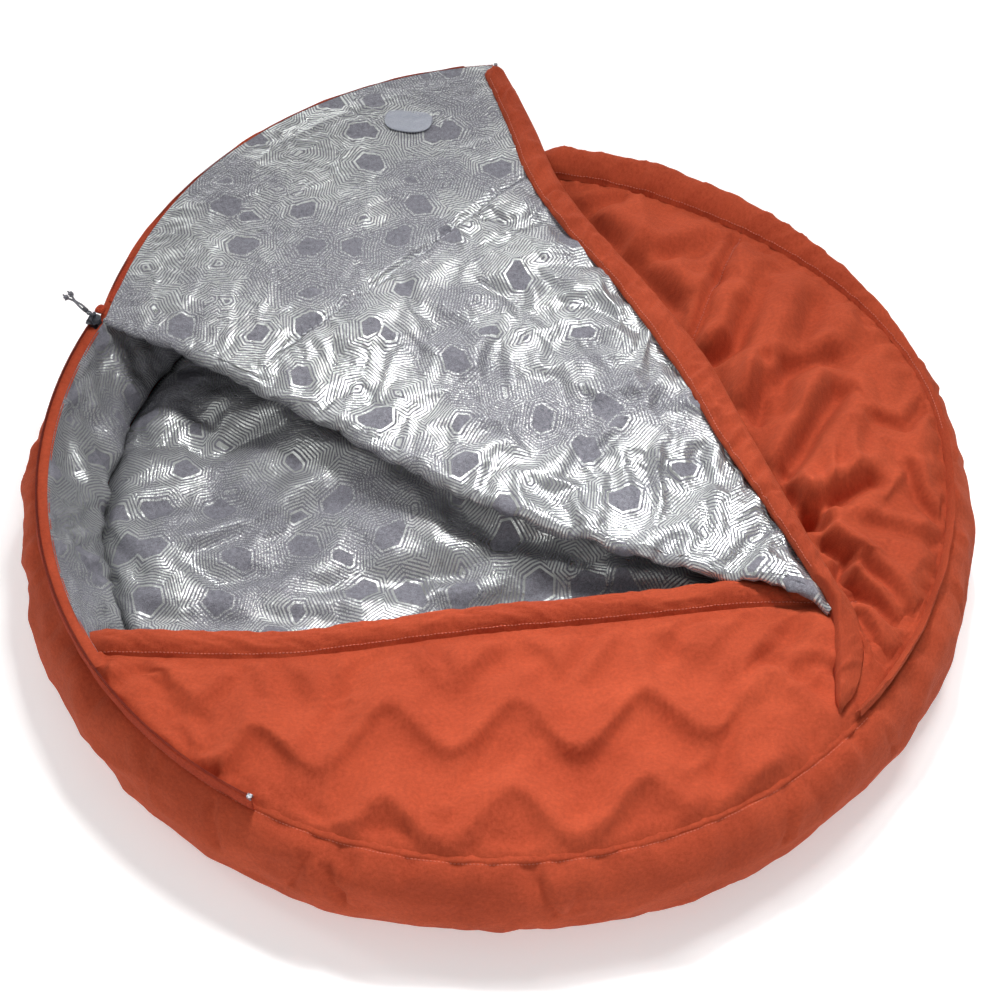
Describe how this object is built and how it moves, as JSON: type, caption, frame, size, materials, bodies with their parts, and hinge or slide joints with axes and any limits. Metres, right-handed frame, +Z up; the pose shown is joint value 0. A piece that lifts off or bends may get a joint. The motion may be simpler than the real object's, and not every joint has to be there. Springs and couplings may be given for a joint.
{
  "type": "insulated pet bed",
  "caption": "Round padded burrow bed with a heat-reflective lining, a fixed front cover and a zip-edged flap folded back over the rear cover.",
  "frame": {"origin": "centre of the round bottom panel, on the floor", "axes": "+Z up; the bed lies flat; -Y towards the front cover and the mouth; +X to the right seen from the front"},
  "size_m": [0.9362, 1.0261, 0.1494],
  "materials": {
    "padding": "soft loft polyester",
    "reflective_lining": "grey melange knit with a silver foil print",
    "zip_tape": "woven tape",
    "zip_coil": "nylon coil",
    "zip_stop_metal": "bright",
    "slider_metal": "gunmetal",
    "cord": "braided",
    "pull_sleeve": "matte",
    "care_patch": "smooth",
    "shell_cloth": "matte softshell"
  },
  "bodies": {
    "base": {"bottom_shell": "shell_cloth", "floor_fill": "padding", "floor_lining": "reflective_lining", "fold_lip_hem": "shell_cloth", "fold_lip_lining": "reflective_lining", "fold_lip_shell": "shell_cloth", "front_cover_fill": "padding", "front_cover_lining": "reflective_lining", "front_cover_shell": "shell_cloth", "front_hem": "shell_cloth", "front_rim_binding": "shell_cloth", "rear_cover_fill": "padding", "rear_cover_lining": "reflective_lining", "rear_hem": "shell_cloth", "rear_rim_band": "shell_cloth", "rear_shell_left": "shell_cloth", "rear_shell_right": "shell_cloth", "rim_zip_coil": "zip_coil", "rim_zip_stop": "zip_stop_metal", "rim_zip_tape": "zip_tape", "wall_fill": "padding", "wall_lining": "reflective_lining", "wall_shell_front": "shell_cloth", "wall_shell_rear": "shell_cloth", "zip_end_tab": "shell_cloth"},
    "flap": {"care_patch": "care_patch", "flap_fill": "padding", "flap_hem": "shell_cloth", "flap_lining": "reflective_lining", "flap_shell": "shell_cloth", "flap_zip_coil": "zip_coil", "flap_zip_stop": "zip_stop_metal", "flap_zip_tape": "zip_tape"},
    "slider": {"slider_body": "slider_metal", "slider_bridge": "slider_metal"},
    "pull": {"pull_cord": "cord", "pull_eye": "cord", "pull_knots": "cord", "pull_ring": "slider_metal", "pull_sleeve": "pull_sleeve"}
  },
  "joints": [
    {"name": "flap_fold", "type": "hinge", "parent": "base", "child": "flap", "pos_m": [-0.41544, 0.15781, 0.127], "axis": [0.974, -0.2267, 0], "range_deg": [0, 179]},
    {"name": "slider_travel", "type": "hinge", "parent": "base", "child": "slider", "pos_m": [-0.00002, -0.00008, 0.12944], "axis": [-0.0059, -0.0255, 0.9997], "range_deg": [0, 81]},
    {"name": "pull_swing", "type": "hinge", "parent": "slider", "child": "pull", "pos_m": [-0.41551, 0.15748, 0.14005], "axis": [0.656, 0.7544, 0.0231], "range_deg": [0, 150]}
  ]
}
